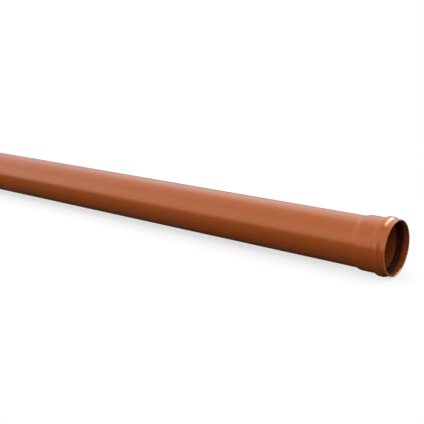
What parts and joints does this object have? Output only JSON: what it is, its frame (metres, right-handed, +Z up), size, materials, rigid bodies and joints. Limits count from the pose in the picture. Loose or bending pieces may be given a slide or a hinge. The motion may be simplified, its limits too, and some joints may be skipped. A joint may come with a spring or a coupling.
{
  "type": "plastic drain pipe",
  "caption": "Straight terracotta-coloured plastic underground drain pipe with a push-fit ring-seal socket at one end and a chamfered spigot at the other.",
  "frame": {"origin": "centre of the bounding box's bottom face: midway along the pipe, below its axis, at the lowest point of the socket's bead", "axes": "+X along the pipe's axis, out of the socket's mouth; +Z up; the axis is level, at the bead's radius above the origin"},
  "size_m": [2.066, 0.1248, 0.1244],
  "materials": {
    "pvc": "satin",
    "seal_rubber": "matte"
  },
  "bodies": {
    "root": {"pipe": "pvc", "sealing_ring": "seal_rubber"}
  },
  "joints": []
}
